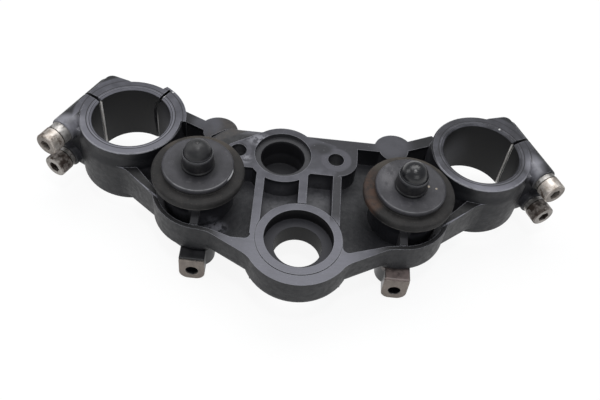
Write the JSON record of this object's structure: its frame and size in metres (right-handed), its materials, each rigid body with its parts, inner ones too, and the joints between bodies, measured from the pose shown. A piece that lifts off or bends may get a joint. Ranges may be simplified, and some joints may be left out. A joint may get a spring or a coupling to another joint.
{
  "type": "motorcycle triple clamp",
  "caption": "Upper motorcycle fork yoke with ribbed pockets, fork clamps, a steering stem boss and rubber mounted handlebar risers.",
  "frame": {"origin": "on the steering stem axis, at the machined face of the ribbed side", "axes": "+X along the yoke from one fork clamp to the other, +Y from the stem towards the ignition lock, +Z out of the ribbed side"},
  "size_m": [0.2909, 0.1242, 0.0707],
  "materials": {
    "yoke_casting": "cast aluminium with a worn black satin coat, darkened machined faces",
    "upper_screws": "aged zinc plate, cloudy and stained",
    "lower_screws": "aged zinc plate under grime and rust",
    "spring_washers": "aged zinc plate",
    "rubber": "aged black rubber, dusty",
    "disc_washers": "black coat worn to dark grey, scuffed",
    "collars": "black coat, pale worn lip",
    "risers": "black coat, bare machined lug face",
    "sleeves": "plain steel tube, hidden"
  },
  "bodies": {
    "root": {"yoke": "yoke_casting", "left_upper_pinch_screw": "upper_screws", "left_lower_pinch_screw": "lower_screws", "left_upper_spring_washer": "spring_washers", "left_lower_spring_washer": "spring_washers", "left_bush_rubber": "rubber", "left_under_rubber": "rubber", "left_spacer_sleeve": "sleeves", "left_disc_washer": "disc_washers", "left_collar_nut": "collars", "left_riser": "risers", "right_upper_pinch_screw": "upper_screws", "right_lower_pinch_screw": "lower_screws", "right_upper_spring_washer": "spring_washers", "right_lower_spring_washer": "spring_washers", "right_bush_rubber": "rubber", "right_under_rubber": "rubber", "right_spacer_sleeve": "sleeves", "right_disc_washer": "disc_washers", "right_collar_nut": "collars", "right_riser": "risers"}
  },
  "joints": []
}
